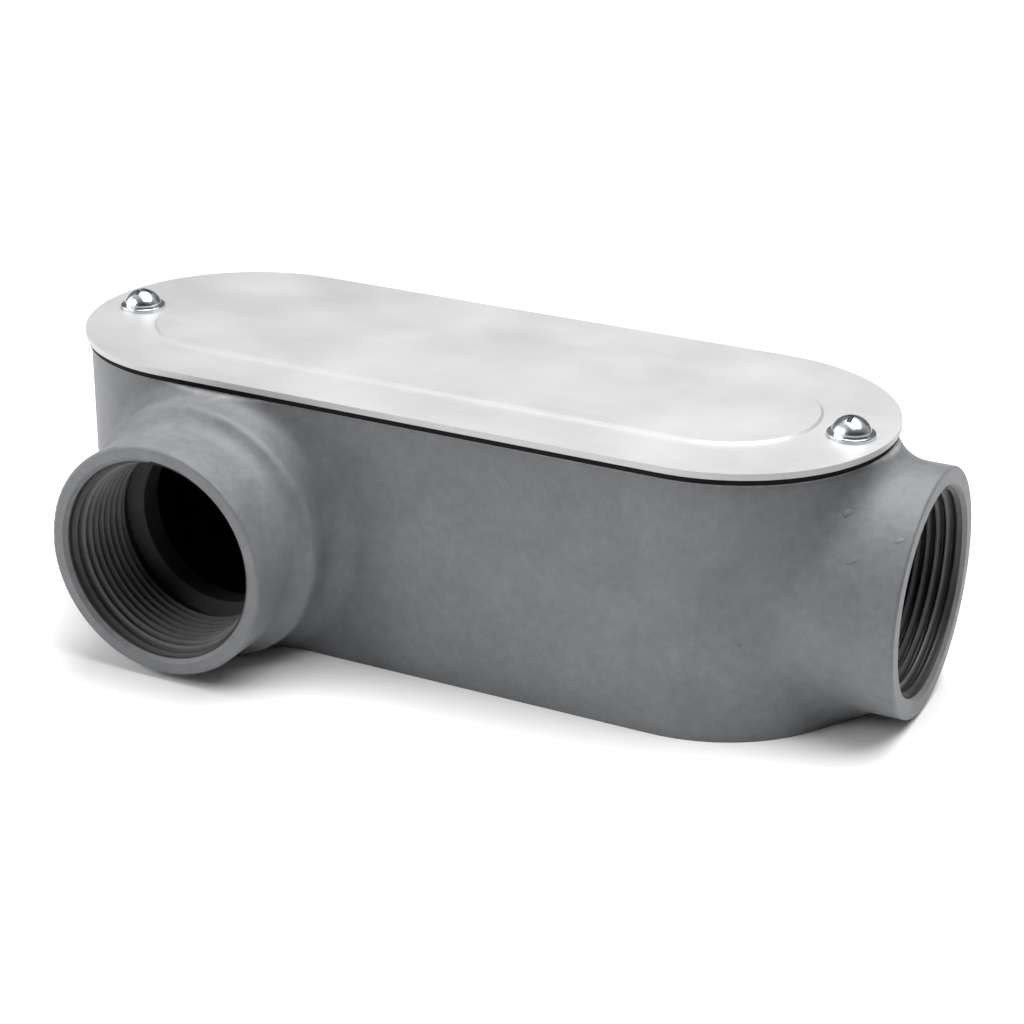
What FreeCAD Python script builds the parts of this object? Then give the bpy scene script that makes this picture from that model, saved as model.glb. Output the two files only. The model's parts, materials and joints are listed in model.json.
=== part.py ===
import FreeCAD, Part
import Sketcher
import math
import os

# Conduit body, right-hand LR pattern, trade size 1-1/2.
# Frame: origin at the centre of the flat bottom face of the box,
# +X along the box towards the end hub, -Y out of the side hub, +Z out of the cover.

doc = FreeCAD.newDocument("ConduitBody")
V = FreeCAD.Vector

# ---------------------------------------------------------------- driving sizes
sheet = doc.addObject("Spreadsheet::Sheet", "Sizes")
SIZES = [
    ("half_span", 63.1),        # centre of the box to the centre of each round end
    ("body_rad", 38.2),         # outside radius of the round ends of the casting
    ("body_high", 61.95),       # base to machined rim
    ("wall_thick", 3.0),
    ("floor_thick", 3.0),
    ("hub_height", 29.7),       # base to both hub axes
    ("hub_rad", 27.95),         # outside radius of the side hub
    ("end_rad", 28.9),          # outside radius of the end hub
    ("hub_lip", 0.7),           # round on the outer corner of the hub face
    ("side_x", -47.7),          # side hub axis along the box
    ("side_face", -66.8),       # side hub face
    ("side_flare_start", -54.4),# where the hub barrel begins to swell
    ("collar_start", -49.04),   # start of the rounded shoulder of the collar
    ("collar_neck", 30.45),     # radius there
    ("collar_end", -47.05),     # end of the rounded shoulder
    ("collar_rad", 31.38),      # radius of the collar at the wall
    ("flare_arc", 7.0),         # radius of the hollow swell
    ("shoulder_arc", 2.6),      # radius of the rounded shoulder
    ("collar_fillet", 6.0),     # cast fillet between collar and wall
    ("end_face", 114.5),        # end hub face
    ("end_fillet", 8.5),        # cast fillet between end hub and box
    ("thread_rad", 24.03),      # major radius of the tapered pipe thread at the mouth
    ("mouth_rad", 25.1),        # radius of the mouth chamfer at the hub face
    ("thread_depth", 24.5),     # hub face to the end of the thread
    ("throat_rad", 20.4),       # smooth bushing ring behind the thread
    ("throat_lead", 1.6),       # sloping step from thread to throat
    ("throat_long", 5.5),       # length of the bushing ring in the end hub
    ("boss_rad", 6.6),          # screw boss
    ("screw_left", -91.8),      # screw centres along the box
    ("screw_right", 93.8),
    ("screw_y", -3.2),          # and across it
    ("tap_rad", 2.15),          # tapped hole
    ("tap_deep", 6.3),
    ("gasket_rad", 38.9),
    ("gasket_thick", 1.4),
    ("gasket_in_span", 52.5),
    ("gasket_in_rad", 33.4),
    ("gasket_hole", 2.2),
    ("cover_rad", 39.5),
    ("cover_thick", 1.5),
    ("cover_hole", 2.3),
    ("panel_rad", 22.3),        # foot of the raised panel
    ("panel_y", -1.0),
    ("panel_rise", 0.55),
    ("panel_slope", 50.0),      # slope of the pressed step from the upright, degrees
    ("washer_rad", 5.5),
    ("washer_hole", 2.3),
    ("washer_thick", 0.9),
    ("head_rad", 4.5),
    ("head_high", 3.7),
    ("head_skirt", 0.7),        # upright edge of the screw head
    ("shank_rad", 2.08),
    ("shank_long", 9.5),        # below the head
    ("slot_wide", 1.15),
    ("slot_deep", 1.6),
    ("cross_long", 5.2),
]
for i, (name, val) in enumerate(SIZES):
    cell = "B%d" % (i + 1)
    sheet.set("A%d" % (i + 1), name)
    sheet.set(cell, str(val))
    sheet.setAlias(cell, name)
doc.recompute()
S = dict(SIZES)


def E(expr):
    """Expression on the sheet: every alias named in it gets the sheet's prefix."""
    out, word = "", ""
    for ch in expr + " ":
        if ch.isalpha() or ch == "_" or (word and ch.isdigit()):
            word += ch
        else:
            out += ("Sizes." + word) if word in S else word
            word = ""
            out += ch
    return out.strip()


def N(expr):
    return eval_number(expr)


KNOWN = {}


def N(expr):
    """Value of an expression, worked out by the sheet in its scratch cell."""
    if expr not in KNOWN:
        sheet.set("D1", "=" + expr)
        sheet.recompute()
        v = sheet.get("D1")
        KNOWN[expr] = float(v.Value if hasattr(v, "Value") else v)
    return KNOWN[expr]


def new_body(label):
    b = doc.addObject("PartDesign::Body", label)
    b.Label = label
    return b


def plane(body, role):
    for f in body.Origin.OriginFeatures:
        if f.Role == role:
            return f
    raise RuntimeError(role)


def new_sketch(body, name, role, offset=None, offset_expr=None):
    sk = body.newObject("Sketcher::SketchObject", name)
    sk.AttachmentSupport = [(plane(body, role), "")]
    sk.MapMode = "FlatFace"
    if offset is not None:
        sk.AttachmentOffset = FreeCAD.Placement(V(*offset), FreeCAD.Rotation())
    for axis, ex in (offset_expr or {}).items():
        sk.setExpression("AttachmentOffset.Base." + axis, E(ex))
    return sk


def dim(sk, kind, args, value, expr, name):
    idx = sk.addConstraint(Sketcher.Constraint(kind, *args, value))
    sk.renameConstraint(idx, name)
    if expr:
        sk.setExpression("Constraints." + name, E(expr))
    return idx


def stadium(sk, tag, span, rad, yc=None):
    """Closed stadium: half distance between the round ends, end radius, centre line offset."""
    a, r = N(span), N(rad)
    y = N(yc) if yc else 0.0
    g = sk.GeometryCount
    sk.addGeometry(Part.LineSegment(V(-a, y + r, 0), V(a, y + r, 0)), False)
    sk.addGeometry(Part.ArcOfCircle(Part.Circle(V(a, y, 0), V(0, 0, 1), r), -math.pi / 2, math.pi / 2), False)
    sk.addGeometry(Part.LineSegment(V(a, y - r, 0), V(-a, y - r, 0)), False)
    sk.addGeometry(Part.ArcOfCircle(Part.Circle(V(-a, y, 0), V(0, 0, 1), r), math.pi / 2, 3 * math.pi / 2), False)
    sk.addConstraint(Sketcher.Constraint("Tangent", g, 2, g + 1, 2))
    sk.addConstraint(Sketcher.Constraint("Tangent", g + 1, 1, g + 2, 1))
    sk.addConstraint(Sketcher.Constraint("Tangent", g + 2, 2, g + 3, 2))
    sk.addConstraint(Sketcher.Constraint("Tangent", g + 3, 1, g, 1))
    sk.addConstraint(Sketcher.Constraint("Equal", g + 1, g + 3))
    dim(sk, "DistanceX", (-1, 1, g + 1, 3), a, span, tag + "_right")
    dim(sk, "DistanceX", (g + 3, 3, -1, 1), a, span, tag + "_left")
    if yc:
        dim(sk, "DistanceY", (-1, 1, g + 1, 3), y, yc, tag + "_yr")
        dim(sk, "DistanceY", (-1, 1, g + 3, 3), y, yc, tag + "_yl")
    else:
        sk.addConstraint(Sketcher.Constraint("PointOnObject", g + 1, 3, -1))
        sk.addConstraint(Sketcher.Constraint("PointOnObject", g + 3, 3, -1))
    dim(sk, "Radius", (g + 1,), r, rad, tag + "_rad")


def circle(sk, tag, cx, cy, rad):
    x, y, r = N(cx), N(cy), N(rad)
    g = sk.GeometryCount
    sk.addGeometry(Part.Circle(V(x, y, 0), V(0, 0, 1), r), False)
    if abs(x) < 1e-9 and abs(y) < 1e-9:
        sk.addConstraint(Sketcher.Constraint("Coincident", g, 3, -1, 1))
    else:
        dim(sk, "DistanceX", (-1, 1, g, 3), x, cx, tag + "_x")
        dim(sk, "DistanceY", (-1, 1, g, 3), y, cy, tag + "_y")
    dim(sk, "Radius", (g,), r, rad, tag + "_rad")


def profile(sk, tag, pts, arcs=None):
    """Closed outline through points given as pairs of expressions.
    arcs: {edge index: (radius expression, side)}; side +1 puts the arc's centre on the
    left of the run from the edge's first point to its second, -1 on the right."""
    arcs = arcs or {}
    P = [(N(x), N(y)) for x, y in pts]
    n = len(P)
    g0 = sk.GeometryCount
    for i in range(n):
        p, q = P[i], P[(i + 1) % n]
        if i in arcs:
            r = N(arcs[i][0])
            side = arcs[i][1]
            mx, my = (p[0] + q[0]) / 2, (p[1] + q[1]) / 2
            dx, dy = q[0] - p[0], q[1] - p[1]
            L = math.hypot(dx, dy)
            hgt = math.sqrt(max(r * r - L * L / 4, 1e-12))
            cx, cy = mx - dy / L * hgt * side, my + dx / L * hgt * side
            a0 = math.atan2(p[1] - cy, p[0] - cx)
            a1 = math.atan2(q[1] - cy, q[0] - cx)
            if side > 0:
                while a1 < a0:
                    a1 += 2 * math.pi
                sk.addGeometry(Part.ArcOfCircle(Part.Circle(V(cx, cy, 0), V(0, 0, 1), r), a0, a1), False)
            else:
                while a0 < a1:
                    a0 += 2 * math.pi
                sk.addGeometry(Part.ArcOfCircle(Part.Circle(V(cx, cy, 0), V(0, 0, 1), r), a1, a0), False)
        else:
            sk.addGeometry(Part.LineSegment(V(p[0], p[1], 0), V(q[0], q[1], 0)), False)

    def ends(i):
        if i in arcs and arcs[i][1] < 0:
            return 2, 1
        return 1, 2

    for i in range(n):
        j = (i + 1) % n
        sk.addConstraint(Sketcher.Constraint("Coincident", g0 + i, ends(i)[1], g0 + j, ends(j)[0]))
    for i in range(n):
        s = ends(i)[0]
        px, py = P[i]
        if abs(py) < 1e-9 and pts[i][1] == "0":
            sk.addConstraint(Sketcher.Constraint("PointOnObject", g0 + i, s, -1))
        else:
            dim(sk, "DistanceY", (-1, 1, g0 + i, s), py, pts[i][1], "%s_y%d" % (tag, i))
        if abs(px) < 1e-9 and pts[i][0] == "0":
            sk.addConstraint(Sketcher.Constraint("PointOnObject", g0 + i, s, -2))
        else:
            dim(sk, "DistanceX", (-1, 1, g0 + i, s), px, pts[i][0], "%s_x%d" % (tag, i))
    for i in arcs:
        dim(sk, "Radius", (g0 + i,), N(arcs[i][0]), arcs[i][0], "%s_r%d" % (tag, i))


def rect(sk, tag, x0, y0, x1, y1):
    profile(sk, tag, [(x0, y0), (x1, y0), (x1, y1), (x0, y1)])


def feature(body, kind, name, sk, **props):
    f = body.newObject("PartDesign::" + kind, name)
    f.Profile = sk
    f.Refine = False
    for k, v in props.items():
        if isinstance(v, str) and k not in ("Type", "SideType"):
            f.setExpression(k, E(v))
        else:
            setattr(f, k, v)
    sk.Visibility = False
    return f


def checked(f, grows, before):
    """Recompute and make sure the feature really added or removed material."""
    doc.recompute()
    v = f.Shape.Volume
    if grows and not v > before + 1e-3:
        raise RuntimeError("%s added nothing" % f.Name)
    if not grows and not v < before - 1e-3:
        raise RuntimeError("%s cut nothing" % f.Name)
    return v


def edges_where(shape, test):
    return ["Edge%d" % (i + 1) for i, e in enumerate(shape.Edges) if test(e)]


# ---------------------------------------------------------------- housing
# One sand-cast piece: box, base, both hubs, screw bosses and bushing rings.
housing = new_body("housing")

sk = new_sketch(housing, "BoxOutline", "XY_Plane", (0, 0, -20.0))
stadium(sk, "box", "half_span", "body_rad")
box = feature(housing, "Pad", "BoxBlock", sk, Length="body_high + 40")
doc.recompute()
vol = box.Shape.Volume

# Side hub: barrel, hollow swell, rounded collar standing off the wall.
sk = new_sketch(housing, "SideHubProfile", "YZ_Plane", (0, N("hub_height"), N("side_x")),
                {"y": "hub_height", "z": "side_x"})
profile(sk, "side", [
    ("-30", "0"),
    ("side_face", "0"),
    ("side_face", "hub_rad - hub_lip"),
    ("side_face + hub_lip", "hub_rad"),
    ("side_flare_start", "hub_rad"),
    ("collar_start", "collar_neck"),
    ("collar_end", "collar_rad"),
    ("-30", "collar_rad"),
], {2: ("hub_lip", -1), 4: ("flare_arc", +1), 5: ("shoulder_arc", -1)})
side = feature(housing, "Revolution", "SideHub", sk, ReferenceAxis=(sk, ["H_Axis"]), Angle=360.0)
vol = checked(side, True, vol)

# End hub: straight barrel running into the round end.
sk = new_sketch(housing, "EndHubProfile", "XZ_Plane", (0, N("hub_height"), 0), {"y": "hub_height"})
profile(sk, "end", [
    ("half_span + 10", "0"),
    ("end_face", "0"),
    ("end_face", "end_rad - hub_lip"),
    ("end_face - hub_lip", "end_rad"),
    ("half_span + 10", "end_rad"),
], {2: ("hub_lip", +1)})
# turned as a near and a far half, which meet on the middle plane
end = feature(housing, "Revolution", "EndHubNear", sk, ReferenceAxis=(sk, ["H_Axis"]), Angle=180.0)
vol = checked(end, True, vol)
end = feature(housing, "Revolution", "EndHubFar", sk, ReferenceAxis=(sk, ["H_Axis"]), Angle=180.0, Reversed=True)
vol = checked(end, True, vol)


def is_end_joint(e):
    """Curve where the end hub's barrel meets the upright round end."""
    b = e.BoundBox
    return (b.ZMin > S["hub_height"] - S["end_rad"] - 1 and b.ZMax < S["hub_height"] + S["end_rad"] + 1
            and b.XMin > S["half_span"] + 15 and b.XMax < S["half_span"] + S["body_rad"] + 1
            and b.ZLength > 5 and b.XLength > 5)


names = edges_where(end.Shape, is_end_joint)
fil = housing.newObject("PartDesign::Fillet", "EndHubFillet")
fil.Base = (end, names)
fil.Refine = False
fil.setExpression("Radius", E("end_fillet"))
vol = checked(fil, True, vol)


def is_collar_joint(e):
    """Curve where the side hub's collar meets the flat side and the round end."""
    b = e.BoundBox
    c = V(S["side_x"], -S["body_rad"], S["hub_height"])
    if b.YMax > -30.5 or b.YMin < -S["body_rad"] - 0.01:
        return False
    for k in (0.1, 0.5, 0.9):
        p = e.valueAt(e.FirstParameter + k * (e.LastParameter - e.FirstParameter))
        if abs(math.hypot(p.x - c.x, p.z - c.z) - S["collar_rad"]) > 0.02:
            return False
    return True


names = edges_where(fil.Shape, is_collar_joint)
fil2 = housing.newObject("PartDesign::Fillet", "CollarFillet")
fil2.Base = (fil, names)
fil2.Refine = False
fil2.setExpression("Radius", E("collar_fillet"))
vol = checked(fil2, True, vol)

# Trim the base flat and the rim flat: the hubs' roots run out into both.
sk = new_sketch(housing, "RimTrim", "XY_Plane", (0, 0, N("body_high")), {"z": "body_high"})
rect(sk, "rim", "0 - 160", "0 - 90", "160", "90")
cut = feature(housing, "Pocket", "RimFace", sk, Length=60.0, Reversed=True)
vol = checked(cut, False, vol)
sk = new_sketch(housing, "BaseTrim", "XY_Plane")
rect(sk, "base", "0 - 160", "0 - 90", "160", "90")
cut = feature(housing, "Pocket", "BaseFace", sk, Length=60.0)
vol = checked(cut, False, vol)

# Wiring chamber, open at the rim.
sk = new_sketch(housing, "ChamberOutline", "XY_Plane", (0, 0, N("body_high")), {"z": "body_high"})
stadium(sk, "chamber", "half_span", "body_rad - wall_thick")
cut = feature(housing, "Pocket", "Chamber", sk, Length="body_high - floor_thick")
vol = checked(cut, False, vol)

# Bulkhead behind the end hub, which carries the thread's inner turns and the bushing ring.
sk = new_sketch(housing, "BulkheadProfile", "XZ_Plane", (0, N("hub_height"), 0), {"y": "hub_height"})
profile(sk, "bulk", [
    ("end_face - thread_depth - throat_lead - throat_long", "0"),
    ("end_face - 8", "0"),
    ("end_face - 8", "hub_rad - 0.6"),
    ("end_face - thread_depth - throat_lead - throat_long", "hub_rad - 0.6"),
])
blk = feature(housing, "Revolution", "Bulkhead", sk, ReferenceAxis=(sk, ["H_Axis"]), Angle=360.0)
vol = checked(blk, True, vol)

# Screw bosses, one in each round end of the chamber.
sk = new_sketch(housing, "BossOutlines", "XY_Plane", (0, 0, 1.0))
circle(sk, "left", "screw_left", "screw_y", "boss_rad")
circle(sk, "right", "screw_right", "screw_y", "boss_rad")
boss = feature(housing, "Pad", "ScrewBosses", sk, Length="body_high - 1")
vol = checked(boss, True, vol)

# Threaded sockets: mouth chamfer, thread, sloping step, smooth bushing ring.
sk = new_sketch(housing, "SideSocketProfile", "YZ_Plane", (0, N("hub_height"), N("side_x")),
                {"y": "hub_height", "z": "side_x"})
profile(sk, "ss", [
    ("side_face - 2", "0"),
    ("side_face - 2", "mouth_rad"),
    ("side_face", "mouth_rad"),
    ("side_face + (mouth_rad - thread_rad)", "thread_rad"),
    ("side_face + thread_depth", "thread_rad"),
    ("side_face + thread_depth + throat_lead", "throat_rad"),
    ("-28", "throat_rad"),
    ("-28", "0"),
])
cut = feature(housing, "Groove", "SideSocket", sk, ReferenceAxis=(sk, ["H_Axis"]), Angle=360.0)
vol = checked(cut, False, vol)

sk = new_sketch(housing, "EndSocketProfile", "XZ_Plane", (0, N("hub_height"), 0), {"y": "hub_height"})
profile(sk, "es", [
    ("end_face + 2", "0"),
    ("end_face + 2", "mouth_rad"),
    ("end_face", "mouth_rad"),
    ("end_face - (mouth_rad - thread_rad)", "thread_rad"),
    ("end_face - thread_depth", "thread_rad"),
    ("end_face - thread_depth - throat_lead", "throat_rad"),
    ("end_face - thread_depth - throat_lead - throat_long - 2", "throat_rad"),
    ("end_face - thread_depth - throat_lead - throat_long - 2", "0"),
])
cut = feature(housing, "Groove", "EndSocket", sk, ReferenceAxis=(sk, ["H_Axis"]), Angle=360.0)
vol = checked(cut, False, vol)

# Tapped holes for the cover screws.
sk = new_sketch(housing, "TappedHoles", "XY_Plane", (0, 0, N("body_high")), {"z": "body_high"})
circle(sk, "left", "screw_left", "screw_y", "tap_rad")
circle(sk, "right", "screw_right", "screw_y", "tap_rad")
cut = feature(housing, "Pocket", "TappedHoleCut", sk, Length="tap_deep")
vol = checked(cut, False, vol)
tip = cut

# ---------------------------------------------------------------- gasket
gasket = new_body("gasket")
sk = new_sketch(gasket, "GasketOutline", "XY_Plane", (0, 0, N("body_high")), {"z": "body_high"})
stadium(sk, "outer", "half_span", "gasket_rad")
stadium(sk, "inner", "gasket_in_span", "gasket_in_rad")
circle(sk, "left", "screw_left", "screw_y", "gasket_hole")
circle(sk, "right", "screw_right", "screw_y", "gasket_hole")
g = feature(gasket, "Pad", "GasketSheet", sk, Length="gasket_thick")
checked(g, True, 0)

# ---------------------------------------------------------------- cover
cover = new_body("cover")
sk = new_sketch(cover, "CoverOutline", "XY_Plane", (0, 0, N("body_high + gasket_thick")),
                {"z": "body_high + gasket_thick"})
stadium(sk, "outer", "half_span", "cover_rad")
circle(sk, "left", "screw_left", "screw_y", "cover_hole")
circle(sk, "right", "screw_right", "screw_y", "cover_hole")
c = feature(cover, "Pad", "CoverSheet", sk, Length="cover_thick")
vol = checked(c, True, 0)
# raised panel, pressed up from the flat rim with a sloping step
sk = new_sketch(cover, "PanelOutline", "XY_Plane", (0, 0, N("body_high + gasket_thick + cover_thick")),
                {"z": "body_high + gasket_thick + cover_thick"})
stadium(sk, "panel", "half_span", "panel_rad", "panel_y")
c = feature(cover, "Pad", "RaisedPanel", sk, Length="panel_rise", TaperAngle="0 - panel_slope")
vol = checked(c, True, vol)
sk = new_sketch(cover, "PanelUnderside", "XY_Plane", (0, 0, N("body_high + gasket_thick")),
                {"z": "body_high + gasket_thick"})
stadium(sk, "under", "half_span", "panel_rad - 0.45 * cover_thick", "panel_y")
c = feature(cover, "Pocket", "PanelRecess", sk, Length="panel_rise", TaperAngle="0 - panel_slope", Reversed=True)
vol = checked(c, False, vol)

# ---------------------------------------------------------------- washers and screws
for tag, xs in (("left", "screw_left"), ("right", "screw_right")):
    top = "body_high + gasket_thick + cover_thick"
    w = new_body("washer_" + tag)
    sk = new_sketch(w, "WasherOutline_" + tag, "XY_Plane", (0, 0, N(top)), {"z": top})
    circle(sk, "rim", xs, "screw_y", "washer_rad")
    circle(sk, "hole", xs, "screw_y", "washer_hole")
    f = feature(w, "Pad", "WasherRing_" + tag, sk, Length="washer_thick")
    v = checked(f, True, 0)
    edges = edges_where(f.Shape, lambda e: e.BoundBox.ZMin > N(top + "+ 0.5 * washer_thick")
                        and e.BoundBox.XLength > 2 * S["washer_hole"] + 1)
    ch = w.newObject("PartDesign::Fillet", "WasherEdge_" + tag)
    ch.Base = (f, edges)
    ch.Radius = 0.3
    checked(ch, False, v)

    s = new_body("screw_" + tag)
    under = top + " + washer_thick"
    sk = new_sketch(s, "ScrewProfile_" + tag, "XZ_Plane", (N(xs), N(under), -N("screw_y")),
                    {"x": xs, "y": under, "z": "0 - screw_y"})
    # dome: arc from the crown to the upright skirt
    # crown radius follows from the head's height above the skirt and its width
    profile(sk, "screw", [
        ("0", "0 - shank_long"),
        ("shank_rad - 0.6", "0 - shank_long"),
        ("shank_rad", "0 - shank_long + 0.6"),
        ("shank_rad", "0"),
        ("head_rad", "0"),
        ("head_rad", "head_skirt"),
        ("0", "head_high"),
    ], {5: ("(head_rad * head_rad + (head_high - head_skirt) * (head_high - head_skirt)) / (2 * (head_high - head_skirt))", +1)})
    f = feature(s, "Revolution", "ScrewBlank_" + tag, sk, ReferenceAxis=(sk, ["V_Axis"]), Angle=360.0)
    v = checked(f, True, 0)
    # combination drive: a slot right across and a short cross bar
    crown = under + " + head_high"
    sk = new_sketch(s, "DriveSlot_" + tag, "XY_Plane", (N(xs), N("screw_y"), N(crown)),
                    {"x": xs, "y": "screw_y", "z": crown})
    rect(sk, "slot", "0 - head_rad - 1", "0 - slot_wide / 2", "head_rad + 1", "slot_wide / 2")
    p = feature(s, "Pocket", "DriveSlotCut_" + tag, sk, Length="slot_deep")
    v = checked(p, False, v)
    sk = new_sketch(s, "DriveCross_" + tag, "XY_Plane", (N(xs), N("screw_y"), N(crown)),
                    {"x": xs, "y": "screw_y", "z": crown})
    rect(sk, "cross", "0 - slot_wide / 2", "0 - cross_long / 2", "slot_wide / 2", "cross_long / 2")
    p = feature(s, "Pocket", "DriveCrossCut_" + tag, sk, Length="slot_deep")
    v = checked(p, False, v)

sheet.clear("D1")
doc.recompute()

# ---------------------------------------------------------------- checks and output
for o in doc.Objects:
    if "Invalid" in o.State or "Error" in o.State:
        raise RuntimeError("%s failed: %s" % (o.Name, o.State))
os.makedirs("parts", exist_ok=True)
PARTS = [o for o in doc.Objects if o.TypeId == "PartDesign::Body"]
for b in PARTS:
    sh = b.Shape
    if sh.isNull() or not sh.isValid() or len(sh.Solids) != 1:
        raise RuntimeError("%s is not one valid solid" % b.Label)
for b in PARTS:
    b.Shape.exportStep("parts/%s.step" % b.Label)
    bb = b.Shape.BoundBox
    print("%-14s %9.1f mm3  x %.2f..%.2f  y %.2f..%.2f  z %.2f..%.2f" % (
        b.Label, b.Shape.Volume, bb.XMin, bb.XMax, bb.YMin, bb.YMax, bb.ZMin, bb.ZMax))
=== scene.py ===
# Conduit body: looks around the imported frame. Metres, +X along the box, -Y out of the side hub, +Z up.
import bpy, bmesh, json, math, random
import numpy as np
from mathutils import Vector, Matrix, Euler, noise


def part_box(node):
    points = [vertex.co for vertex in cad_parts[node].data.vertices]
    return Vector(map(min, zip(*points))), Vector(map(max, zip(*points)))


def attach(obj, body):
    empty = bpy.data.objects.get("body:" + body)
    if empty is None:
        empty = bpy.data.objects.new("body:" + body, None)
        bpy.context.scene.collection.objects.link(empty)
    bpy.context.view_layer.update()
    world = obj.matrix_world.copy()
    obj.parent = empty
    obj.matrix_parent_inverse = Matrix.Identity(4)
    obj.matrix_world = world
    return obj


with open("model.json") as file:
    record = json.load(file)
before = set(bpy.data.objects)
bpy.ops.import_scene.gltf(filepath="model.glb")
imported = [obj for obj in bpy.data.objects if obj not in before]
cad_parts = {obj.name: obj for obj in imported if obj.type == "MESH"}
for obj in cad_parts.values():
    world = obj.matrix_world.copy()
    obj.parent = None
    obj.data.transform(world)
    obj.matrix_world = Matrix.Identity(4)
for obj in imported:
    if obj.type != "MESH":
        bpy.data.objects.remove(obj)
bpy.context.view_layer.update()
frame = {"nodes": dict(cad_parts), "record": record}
nodes = frame["nodes"]
scene = bpy.context.scene
scene.view_settings.view_transform = "Standard"
scene.view_settings.look = "None"
MM = 0.001
rng = random.Random(11)

mounts = {m["name"]: m for m in frame["record"]["mounts"]}
lo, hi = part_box("housing")
HUB_Z = mounts["end_hub"]["pos_m"][2]
SIDE_X = mounts["side_hub"]["pos_m"][0]
END_FACE = hi.x
RIM = hi.z
SIDE_FACE = lo.y
BORE = mounts["end_hub"]["dims"]["r_mm"] * MM
PITCH = 2.209 * MM


# ------------------------------------------------------------------ node helpers
def new_material(name):
    m = bpy.data.materials.new(name)
    m.use_nodes = True
    nt = m.node_tree
    nt.nodes.clear()
    out = nt.nodes.new("ShaderNodeOutputMaterial")
    bsdf = nt.nodes.new("ShaderNodeBsdfPrincipled")
    nt.links.new(bsdf.outputs["BSDF"], out.inputs["Surface"])
    return m, nt, bsdf


def add(nt, kind, **props):
    n = nt.nodes.new(kind)
    for k, v in props.items():
        if k.startswith("in_"):
            n.inputs[k[3:]].default_value = v
        else:
            setattr(n, k, v)
    return n


def coords(nt, scale=(1, 1, 1), loc=(0, 0, 0)):
    tc = add(nt, "ShaderNodeTexCoord")
    mp = add(nt, "ShaderNodeMapping")
    mp.inputs["Scale"].default_value = scale
    mp.inputs["Location"].default_value = loc
    nt.links.new(tc.outputs["Object"], mp.inputs["Vector"])
    return mp.outputs["Vector"]


def noise_tex(nt, vec, scale, detail=4.0, rough=0.5, dist=0.0):
    n = add(nt, "ShaderNodeTexNoise")
    n.inputs["Scale"].default_value = scale
    n.inputs["Detail"].default_value = detail
    n.inputs["Roughness"].default_value = rough
    n.inputs["Distortion"].default_value = dist
    nt.links.new(vec, n.inputs["Vector"])
    return n.outputs["Fac"]


def ramp(nt, fac, stops):
    r = add(nt, "ShaderNodeValToRGB")
    el = r.color_ramp.elements
    while len(el) < len(stops):
        el.new(0.5)
    for e, (pos, col) in zip(el, stops):
        e.position = pos
        e.color = col if len(col) == 4 else (*col, 1.0)
    nt.links.new(fac, r.inputs["Fac"])
    return r.outputs["Color"]


def grey(v):
    return (v, v, v, 1.0)


def maprange(nt, fac, a, b, c, d):
    n = add(nt, "ShaderNodeMapRange")
    for k, v in zip(("From Min", "From Max", "To Min", "To Max"), (a, b, c, d)):
        n.inputs[k].default_value = v
    nt.links.new(fac, n.inputs["Value"])
    return n.outputs["Result"]


def mixc(nt, fac, a, b, mode="MIX"):
    n = add(nt, "ShaderNodeMix", data_type="RGBA", blend_type=mode)
    if hasattr(fac, "links"):
        nt.links.new(fac, n.inputs[0])
    else:
        n.inputs[0].default_value = fac
    for sock, v in ((n.inputs[6], a), (n.inputs[7], b)):
        if hasattr(v, "links"):
            nt.links.new(v, sock)
        else:
            sock.default_value = v
    return n.outputs[2]


def math_node(nt, op, a, b):
    n = add(nt, "ShaderNodeMath", operation=op)
    for s, v in ((n.inputs[0], a), (n.inputs[1], b)):
        if hasattr(v, "links"):
            nt.links.new(v, s)
        else:
            s.default_value = v
    return n.outputs[0]


def bump(nt, bsdf, height, dist, strength=1.0, prev=None):
    b = add(nt, "ShaderNodeBump")
    b.inputs["Strength"].default_value = strength
    b.inputs["Distance"].default_value = dist
    nt.links.new(height, b.inputs["Height"])
    if prev is not None:
        nt.links.new(prev, b.inputs["Normal"])
    nt.links.new(b.outputs["Normal"], bsdf.inputs["Normal"])
    return b.outputs["Normal"]


# ------------------------------------------------------------------ materials
def sep(nt, vec):
    n = add(nt, "ShaderNodeSeparateXYZ")
    nt.links.new(vec, n.inputs[0])
    return n.outputs[0], n.outputs[1], n.outputs[2]


def radial(nt, a, a0, b, b0):
    """Distance from an axis through (a0, b0)."""
    da = math_node(nt, "SUBTRACT", a, a0)
    db = math_node(nt, "SUBTRACT", b, b0)
    return math_node(nt, "SQRT", math_node(nt, "ADD", math_node(nt, "MULTIPLY", da, da), math_node(nt, "MULTIPLY", db, db)), 0.0)


def inside_shade_mask(nt, vec):
    """1 on the inner walls of both bores and the wiring chamber, where shade is painted in."""
    x, y, z = sep(nt, vec)
    side = math_node(nt, "MULTIPLY",
                     math_node(nt, "LESS_THAN", radial(nt, x, SIDE_X, z, HUB_Z), BORE + 0.00015),
                     math_node(nt, "LESS_THAN", y, -0.030))
    end = math_node(nt, "MULTIPLY",
                    math_node(nt, "LESS_THAN", radial(nt, y, 0.0, z, HUB_Z), BORE + 0.00015),
                    math_node(nt, "GREATER_THAN", x, 0.080))
    ax = math_node(nt, "MAXIMUM", math_node(nt, "SUBTRACT", math_node(nt, "ABSOLUTE", x, 0.0), 0.0631), 0.0)
    rad = math_node(nt, "SQRT", math_node(nt, "ADD", math_node(nt, "MULTIPLY", ax, ax), math_node(nt, "MULTIPLY", y, y)), 0.0)
    room = math_node(nt, "MULTIPLY", math_node(nt, "LESS_THAN", rad, 0.03535),
                     math_node(nt, "MULTIPLY", math_node(nt, "GREATER_THAN", z, 0.0025), math_node(nt, "LESS_THAN", z, RIM - 0.0002)))
    return math_node(nt, "MAXIMUM", side, math_node(nt, "MAXIMUM", end, room))


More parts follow.
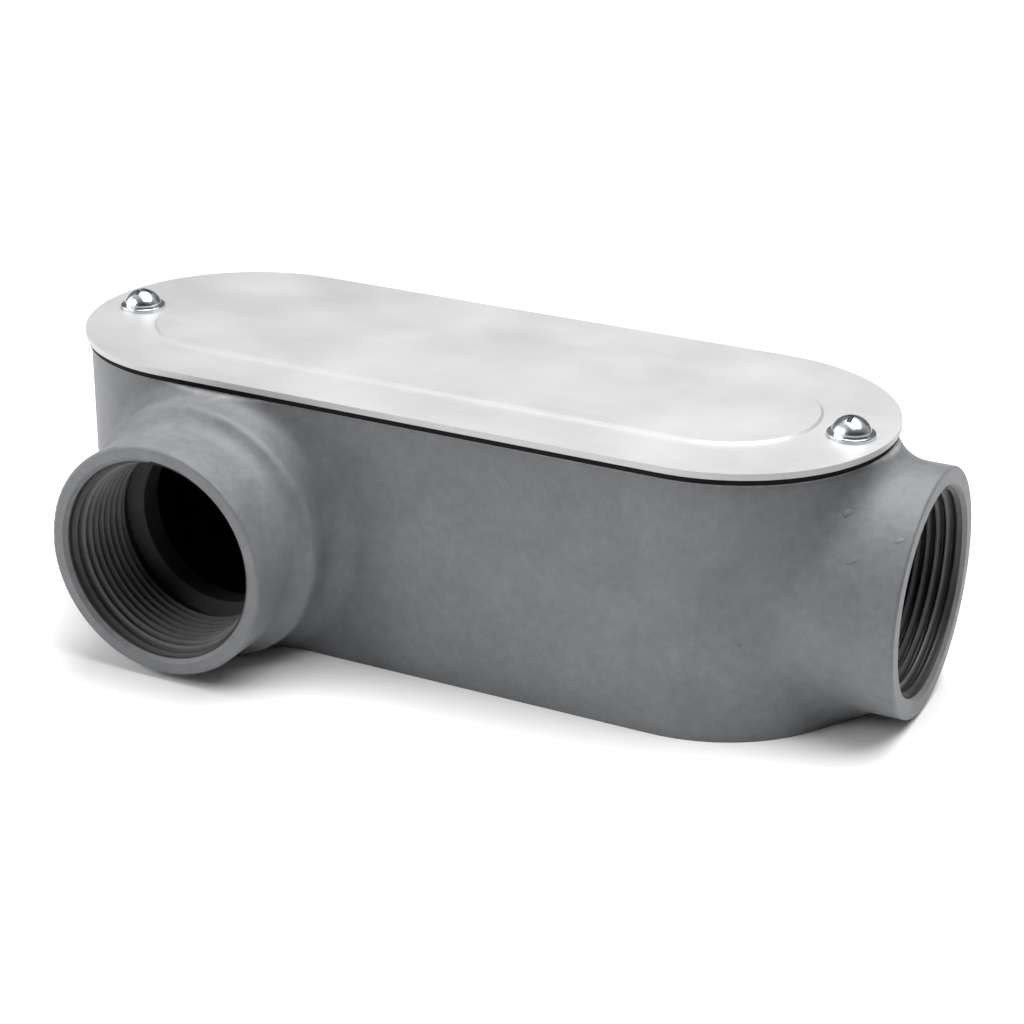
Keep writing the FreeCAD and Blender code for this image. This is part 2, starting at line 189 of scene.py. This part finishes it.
def paint_material(name="paint_grey", inner=None):
    """Grey epoxy powder coat over a sand casting; the inner walls are coloured near-black as painted shade."""
    m, nt, b = new_material(name)
    v = coords(nt)
    broad = noise_tex(nt, v, 26.0, 3.0, 0.55)
    cloud = noise_tex(nt, v, 85.0, 4.0, 0.6, 0.4)
    fine = noise_tex(nt, v, 420.0, 5.0, 0.62)
    grain = noise_tex(nt, v, 1500.0, 3.0, 0.6)
    base = ramp(nt, broad, [(0.25, (0.148, 0.152, 0.160)), (0.55, (0.166, 0.171, 0.179)), (0.8, (0.188, 0.193, 0.201))])
    mott = ramp(nt, cloud, [(0.28, grey(0.90)), (0.5, grey(1.0)), (0.72, grey(1.10))])
    speck = ramp(nt, fine, [(0.30, grey(0.88)), (0.52, grey(1.0)), (0.74, grey(1.12))])
    col = mixc(nt, 1.0, mixc(nt, 1.0, base, mott, "MULTIPLY"), speck, "MULTIPLY")
    # painted shade: near-black colour for the inner walls of the bores and the wiring chamber, where little light
    # reaches
    painted_inside_shade = ramp(nt, cloud, [(0.3, (0.036, 0.035, 0.036)), (0.7, (0.056, 0.055, 0.056))])
    if inner is None:
        mask = inside_shade_mask(nt, v)
        col = mixc(nt, mask, col, painted_inside_shade)
    elif inner:
        col = painted_inside_shade
    # lighter band along the top of the machined rim: partly bare, worn metal, partly a painted highlight on the lit
    # edge
    x, y, z = sep(nt, v)
    rim_wear_and_highlight = maprange(nt, z, RIM - 0.0008, RIM - 0.0001, 0.0, 1.0)
    rim_wear_and_highlight = math_node(nt, "MULTIPLY", rim_wear_and_highlight, maprange(nt, cloud, 0.35, 0.6, 0.35, 1.0))
    if inner is None:
        col = mixc(nt, rim_wear_and_highlight, col, ramp(nt, fine, [(0.3, (0.27, 0.272, 0.275)), (0.7, (0.40, 0.402, 0.405))]))
    nt.links.new(col, b.inputs["Base Color"])
    nt.links.new(maprange(nt, fine, 0.3, 0.7, 0.42, 0.56), b.inputs["Roughness"])
    b.inputs["Specular IOR Level"].default_value = 0.40
    bv = add(nt, "ShaderNodeBevel", samples=2)
    bv.inputs["Radius"].default_value = 0.0005
    n0 = bump(nt, b, cloud, 0.0006, 0.16, bv.outputs["Normal"])
    n1 = bump(nt, b, broad, 0.0016, 0.10, n0)
    n2 = bump(nt, b, fine, 0.00035, 0.34, n1)
    bump(nt, b, grain, 0.00012, 0.25, n2)
    return m


def thread_material(name, along):
    """Cut thread, coloured dark for the shade inside the bore, with lighter crests as painted highlights. along: 'Y' or
    'X', the hub's axis.
    """
    m, nt, b = new_material(name)
    v = coords(nt)
    x, y, z = sep(nt, v)
    rr = radial(nt, x, SIDE_X, z, HUB_Z) if along == "Y" else radial(nt, y, 0.0, z, HUB_Z)
    fine = noise_tex(nt, v, 500.0, 4.0, 0.6)
    cloud = noise_tex(nt, v, 90.0, 3.0, 0.55)
    # painted shade and highlight: near-black roots for the shade down in the bore, lighter crests as painted highlights
    high = maprange(nt, rr, 0.02375, 0.0226, 0.0, 1.0)
    col = ramp(nt, high, [(0.0, (0.030, 0.029, 0.030)), (0.45, (0.050, 0.050, 0.052)), (1.0, (0.125, 0.127, 0.132))])
    tone = ramp(nt, cloud, [(0.3, grey(0.85)), (0.7, grey(1.12))])
    nt.links.new(mixc(nt, 1.0, col, tone, "MULTIPLY"), b.inputs["Base Color"])
    nt.links.new(maprange(nt, fine, 0.3, 0.7, 0.38, 0.55), b.inputs["Roughness"])
    b.inputs["Specular IOR Level"].default_value = 0.35
    n1 = bump(nt, b, cloud, 0.0004, 0.15)
    bump(nt, b, fine, 0.00015, 0.3, n1)
    return m


def sheet_material():
    """Satin pressed aluminium sheet with a faint rolling grain."""
    m, nt, b = new_material("cover_satin_aluminium")
    v = coords(nt)
    vs = coords(nt, (0.06, 1.0, 1.0))
    grain = noise_tex(nt, vs, 1400.0, 4.0, 0.6)
    cloud = noise_tex(nt, v, 30.0, 4.0, 0.55)
    fine = noise_tex(nt, v, 500.0, 3.0, 0.5)
    base = ramp(nt, cloud, [(0.25, (0.505, 0.509, 0.503)), (0.75, (0.540, 0.544, 0.538))])
    g = ramp(nt, grain, [(0.25, grey(0.965)), (0.75, grey(1.03))])
    nt.links.new(mixc(nt, 1.0, base, g, "MULTIPLY"), b.inputs["Base Color"])
    b.inputs["Metallic"].default_value = 0.55
    nt.links.new(maprange(nt, cloud, 0.25, 0.75, 0.42, 0.55), b.inputs["Roughness"])
    n1 = bump(nt, b, cloud, 0.0012, 0.04)
    n2 = bump(nt, b, grain, 0.00006, 0.25, n1)
    bump(nt, b, fine, 0.0001, 0.15, n2)
    return m


def rubber_material():
    m, nt, b = new_material("gasket_black_rubber")
    v = coords(nt)
    f = noise_tex(nt, v, 900.0, 4.0, 0.6)
    c = noise_tex(nt, v, 60.0, 3.0, 0.5)
    nt.links.new(ramp(nt, c, [(0.3, (0.0045, 0.0045, 0.005)), (0.7, (0.010, 0.010, 0.011))]), b.inputs["Base Color"])
    nt.links.new(maprange(nt, f, 0.3, 0.7, 0.62, 0.8), b.inputs["Roughness"])
    b.inputs["Specular IOR Level"].default_value = 0.12
    bump(nt, b, f, 0.0002, 0.4)
    return m


def zinc_material(name, rough=(0.16, 0.28), tint=(0.70, 0.725, 0.76)):
    m, nt, b = new_material(name)
    v = coords(nt)
    c = noise_tex(nt, v, 260.0, 4.0, 0.55)
    f = noise_tex(nt, v, 1800.0, 3.0, 0.6)
    d = tuple(x * 0.88 for x in tint)
    nt.links.new(ramp(nt, c, [(0.3, d), (0.7, tint)]), b.inputs["Base Color"])
    b.inputs["Metallic"].default_value = 1.0
    nt.links.new(maprange(nt, c, 0.3, 0.7, *rough), b.inputs["Roughness"])
    bump(nt, b, f, 0.00005, 0.2)
    return m


PAINT = paint_material()
THREAD_SIDE = thread_material("thread_side_painted_shade", "Y")
THREAD_END = thread_material("thread_end_painted_shade", "X")
SHEET = sheet_material()
RUBBER = rubber_material()
ZINC = zinc_material("zinc_bright")


def finish_node(name, mat):
    o = nodes[name]
    o.data.materials.clear()
    o.data.materials.append(mat)


finish_node("housing", PAINT)
finish_node("cover", SHEET)
finish_node("gasket", RUBBER)
for t in ("left", "right"):
    finish_node("washer_" + t, ZINC)
    finish_node("screw_" + t, ZINC)


# ------------------------------------------------------------------ mesh helpers
def mesh_piece(name, verts, faces, mat, body, smooth=True):
    me = bpy.data.meshes.new(name)
    me.from_pydata(verts, [], faces)
    me.validate()
    bm = bmesh.new()
    bm.from_mesh(me)
    bmesh.ops.recalc_face_normals(bm, faces=bm.faces)
    bm.to_mesh(me)
    bm.free()
    for p in me.polygons:
        p.use_smooth = smooth
    me.materials.append(mat)
    o = bpy.data.objects.new(name, me)
    scene.collection.objects.link(o)
    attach(o, body)
    return o


def pipe_thread(name, face, inward, u, v, s0, mat):
    """Right-hand tapered internal thread: one swept ridge, closed, set into the bore wall.
    Its first turns are cut back by the mouth chamfer, its last turn runs out."""
    mouth = 25.1 * MM
    bed = BORE + 0.45 * MM
    per = 144
    s1 = 21.9 * MM
    turns = (s1 - s0) / PITCH
    n = int(turns * per)
    prof = [(-0.5, 0.0), (-0.40, 0.05), (-0.07, 1.0), (0.07, 1.0), (0.40, 0.05), (0.5, 0.0)]
    high = 0.80 * PITCH
    verts, faces = [], []
    k = len(prof) + 2
    for i in range(n + 1):
        t = i / per
        phi = 2 * math.pi * t
        sc = s0 + PITCH * t
        fade = min(1.0, max(0.0, (turns - t) / 0.9))
        ring = []
        for (ds, hh) in prof:
            s = sc + ds * PITCH
            root = BORE - 0.01 * MM - s / 32.0
            start = min(1.0, max(0.30, s / (6.0 * MM)))
            r = root - hh * high * fade * start
            r = max(r, mouth - s + 0.03 * MM)
            ring.append((s, min(r, bed - 0.02 * MM)))
        ring = [(sc - 0.5 * PITCH, bed)] + ring + [(sc + 0.5 * PITCH, bed)]
        for (s, r) in ring:
            p = face + inward * s + (u * math.cos(phi) + v * math.sin(phi)) * r
            verts.append(tuple(p))
    for i in range(n):
        a, b = i * k, (i + 1) * k
        for j in range(k):
            j2 = (j + 1) % k
            faces.append((a + j, a + j2, b + j2, b + j))
    faces.append(tuple(range(k)))
    faces.append(tuple(reversed(range(n * k, n * k + k))))
    return mesh_piece(name, verts, faces, mat, "housing", smooth=False)


thread_side = pipe_thread("thread_side_hub", Vector((SIDE_X, SIDE_FACE, HUB_Z)), Vector((0, 1, 0)),
                          Vector((0, 0, 1)), Vector((1, 0, 0)), 1.30 * MM, THREAD_SIDE)
thread_end = pipe_thread("thread_end_hub", Vector((END_FACE, 0, HUB_Z)), Vector((-1, 0, 0)),
                         Vector((0, 0, 1)), Vector((0, 1, 0)), 1.45 * MM, THREAD_END)

def casting_nub(name, at, normal, along, long, wide, high, seed):
    """Small irregular mound of flash or grit under the paint, sunk into the wall."""
    n = normal.normalized()
    t = (along - n * along.dot(n)).normalized()
    b = n.cross(t)
    bm = bmesh.new()
    bmesh.ops.create_icosphere(bm, subdivisions=3, radius=1.0)
    for v in bm.verts:
        k = 1.0 + 0.28 * noise.noise(v.co * 1.7 + Vector((seed, seed * 0.3, 0)))
        c = v.co * k
        v.co = at - n * (0.45 * high) + t * (c.x * long / 2) + b * (c.y * wide / 2) + n * (c.z * high)
    me = bpy.data.meshes.new(name)
    bm.to_mesh(me)
    bm.free()
    for p in me.polygons:
        p.use_smooth = True
    me.materials.append(PAINT)
    o = bpy.data.objects.new(name, me)
    scene.collection.objects.link(o)
    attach(o, "housing")
    return o


def on_wall(origin, direction):
    """Point and normal where a line meets the casting."""
    o = nodes["housing"]
    inv = o.matrix_world.inverted()
    a = inv @ Vector(origin)
    d = (inv.to_3x3() @ Vector(direction)).normalized()
    hit, loc, nor, _ = o.ray_cast(a, d)
    if not hit:
        return None
    return o.matrix_world @ loc, (o.matrix_world.to_3x3() @ nor).normalized()


EYE = Vector((0.24054667, -0.47407666, 0.25690185))
CR = Vector((0.89681465, 0.44223394, 0.01235424))
CU = Vector((-0.186128, 0.35182477, 0.91737435))
CB = CR.cross(CU)
# specks around the end hub's root, given as slopes from the viewing point
for i, (sx, sy, tilt, long, wide, high) in enumerate((
        (0.1404, -0.0004, 20, 2.6, 1.7, 0.20),
        (0.1417, -0.0209, 10, 2.8, 1.4, 0.20),
        (0.1618, -0.0121, 5, 3.0, 1.3, 0.20),
        (0.0940, -0.0560, 10, 1.6, 1.3, 0.14),
        (-0.0700, -0.0330, 40, 1.7, 1.3, 0.14))):
    ray = CR * sx + CU * sy - CB
    got = on_wall(EYE, ray)
    if got:
        a = math.radians(tilt)
        casting_nub("casting_nub_%d" % (i + 1), got[0], got[1], CR * math.cos(a) + CU * math.sin(a),
                    long * MM, wide * MM, high * MM, 3.1 * i)

# ------------------------------------------------------------------ stage
def floor_material():
    m, nt, b = new_material("floor_white")
    v = coords(nt)
    f = noise_tex(nt, v, 3.0, 2.0, 0.5)
    white = ramp(nt, f, [(0.0, grey(0.90)), (1.0, grey(0.92))])
    # painted shade: the floor is darkened far out in front on the right, out of frame, to cut the light bounced onto
    # the object's right front
    geo = add(nt, "ShaderNodeNewGeometry")
    d = add(nt, "ShaderNodeVectorMath", operation="DOT_PRODUCT")
    d.inputs[1].default_value = (0.80, -0.60, 0.0)
    nt.links.new(geo.outputs["Position"], d.inputs[0])
    floor_shade_mask = maprange(nt, d.outputs["Value"], 0.225, 0.30, 0.0, 1.0)
    nt.links.new(mixc(nt, floor_shade_mask, white, ramp(nt, f, [(0.0, grey(0.10)), (1.0, grey(0.14))])), b.inputs["Base Color"])
    b.inputs["Roughness"].default_value = 0.9
    b.inputs["Specular IOR Level"].default_value = 0.1
    return m


def make_floor():
    """Seamless sweep: flat floor that curves up behind the object."""
    prof = [(-6.0, 0.0), (3.2, 0.0)]
    for i in range(1, 13):
        a = math.radians(i * 7.5)
        prof.append((3.2 + 2.0 * math.sin(a), 2.0 - 2.0 * math.cos(a)))
    prof.append((5.2, 7.0))
    verts, faces = [], []
    for (y, z) in prof:
        verts += [(-9.0, y, z - 0.00002), (9.0, y, z - 0.00002)]
    for i in range(len(prof) - 1):
        a = 2 * i
        faces.append((a, a + 1, a + 3, a + 2))
    me = bpy.data.meshes.new("floor")
    me.from_pydata(verts, [], faces)
    for p in me.polygons:
        p.use_smooth = True
    me.materials.append(floor_material())
    o = bpy.data.objects.new("floor", me)
    o.rotation_euler = (0, 0, math.radians(26))
    scene.collection.objects.link(o)


make_floor()


def area(name, loc, target, size, power, color=(1, 1, 1), size_y=None):
    l = bpy.data.lights.new(name, "AREA")
    l.energy = power
    l.color = color
    l.size = size
    if size_y:
        l.shape = "RECTANGLE"
        l.size_y = size_y
    o = bpy.data.objects.new(name, l)
    o.location = loc
    d = Vector(target) - Vector(loc)
    o.rotation_euler = d.to_track_quat("-Z", "Y").to_euler()
    scene.collection.objects.link(o)
    return o


area("light_top", (0.16, 0.20, 1.15), (0.02, 0, 0.0), 1.3, 25.5, size_y=0.9)
area("light_left", (-1.15, -0.35, 0.50), (0, 0, 0.03), 0.8, 4.0, size_y=0.6)
area("light_front", (-0.75, -0.85, 0.80), (-0.04, 0, 0.02), 0.6, 5.0, size_y=0.5)

w = bpy.data.worlds.new("studio")
scene.world = w
w.use_nodes = True
wt = w.node_tree
bg = wt.nodes["Background"]
# the room is bright above, behind and to the left, and dim low in front on the right
tc = add(wt, "ShaderNodeTexCoord")
dot = add(wt, "ShaderNodeVectorMath", operation="DOT_PRODUCT")
dot.inputs[1].default_value = (0.66, -0.74, -0.10)
wt.links.new(tc.outputs["Generated"], dot.inputs[0])
lvl = maprange(wt, dot.outputs["Value"], -0.45, 0.65, 0.62, 0.04)
wt.links.new(ramp(wt, lvl, [(0.0, grey(0.0)), (1.0, grey(1.0))]), bg.inputs["Color"])
bg.inputs["Strength"].default_value = 1.0

# ------------------------------------------------------------------ camera
cam = bpy.data.cameras.new("camera")
cam.sensor_width = 36.0
cam.lens = 2392.5 / 1024.0 * 36.0
cam.dof.use_dof = False
cam.clip_start = 0.01
cam.clip_end = 50.0
co = bpy.data.objects.new("camera", cam)
R = Vector((0.89681465, 0.44223394, 0.01235424))
U = Vector((-0.186128, 0.35182477, 0.91737435))
B = R.cross(U)
co.matrix_world = Matrix((
    (R.x, U.x, B.x, 0.24054667),
    (R.y, U.y, B.y, -0.47407666),
    (R.z, U.z, B.z, 0.25690185),
    (0, 0, 0, 1)))
scene.collection.objects.link(co)
scene.camera = co
